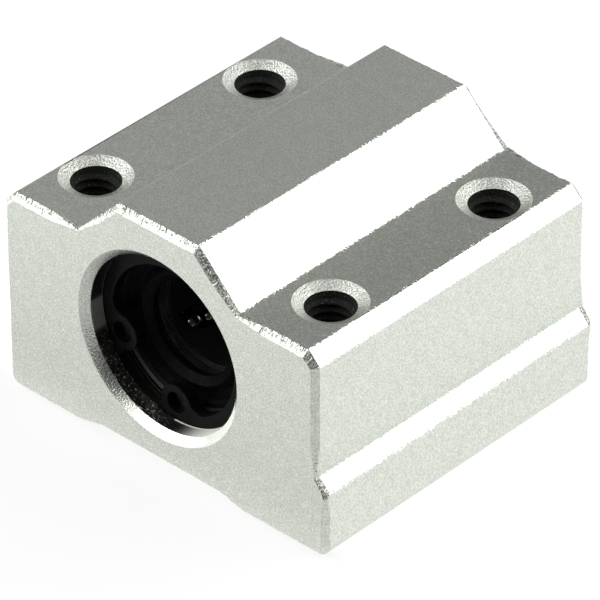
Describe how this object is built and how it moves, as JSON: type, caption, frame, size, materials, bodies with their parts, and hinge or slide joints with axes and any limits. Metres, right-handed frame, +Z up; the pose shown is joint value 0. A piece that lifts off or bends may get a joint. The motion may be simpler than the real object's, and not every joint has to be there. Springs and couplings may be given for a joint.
{
  "type": "linear bearing block",
  "caption": "Aluminium slide block with a ridged top, side datum faces and tapped mounting holes, holding a sealed recirculating ball bearing for a round shaft.",
  "frame": {"origin": "in the base plane, straight under the bore's axis and midway between the block's ends", "axes": "+Y along the bore, +Z up out of the base, +X towards the side with the stepped foot"},
  "size_m": [0.033, 0.03, 0.022],
  "materials": {
    "housing_aluminium": "fine-blasted and clear anodised, with bright broken edges",
    "ring_steel": "black phosphated spring steel",
    "bearing_steel": "ground",
    "cage_plastic": "moulded, matte",
    "end_ring_steel": "stamped, plain",
    "seal_rubber": "moulded, satin",
    "ball_steel": "polished"
  },
  "bodies": {
    "root": {"housing": "housing_aluminium", "circlip_front": "ring_steel", "circlip_rear": "ring_steel", "bearing_sleeve": "bearing_steel", "ball_cage": "cage_plastic", "end_ring_front": "end_ring_steel", "end_ring_rear": "end_ring_steel", "seal_front": "seal_rubber", "seal_rear": "seal_rubber", "loaded_balls_1": "ball_steel", "front_turn_balls_1": "ball_steel", "return_balls_1": "ball_steel", "rear_turn_balls_1": "ball_steel", "loaded_balls_2": "ball_steel", "front_turn_balls_2": "ball_steel", "return_balls_2": "ball_steel", "rear_turn_balls_2": "ball_steel", "loaded_balls_3": "ball_steel", "front_turn_balls_3": "ball_steel", "return_balls_3": "ball_steel", "rear_turn_balls_3": "ball_steel", "loaded_balls_4": "ball_steel", "front_turn_balls_4": "ball_steel", "return_balls_4": "ball_steel", "rear_turn_balls_4": "ball_steel"}
  },
  "joints": []
}
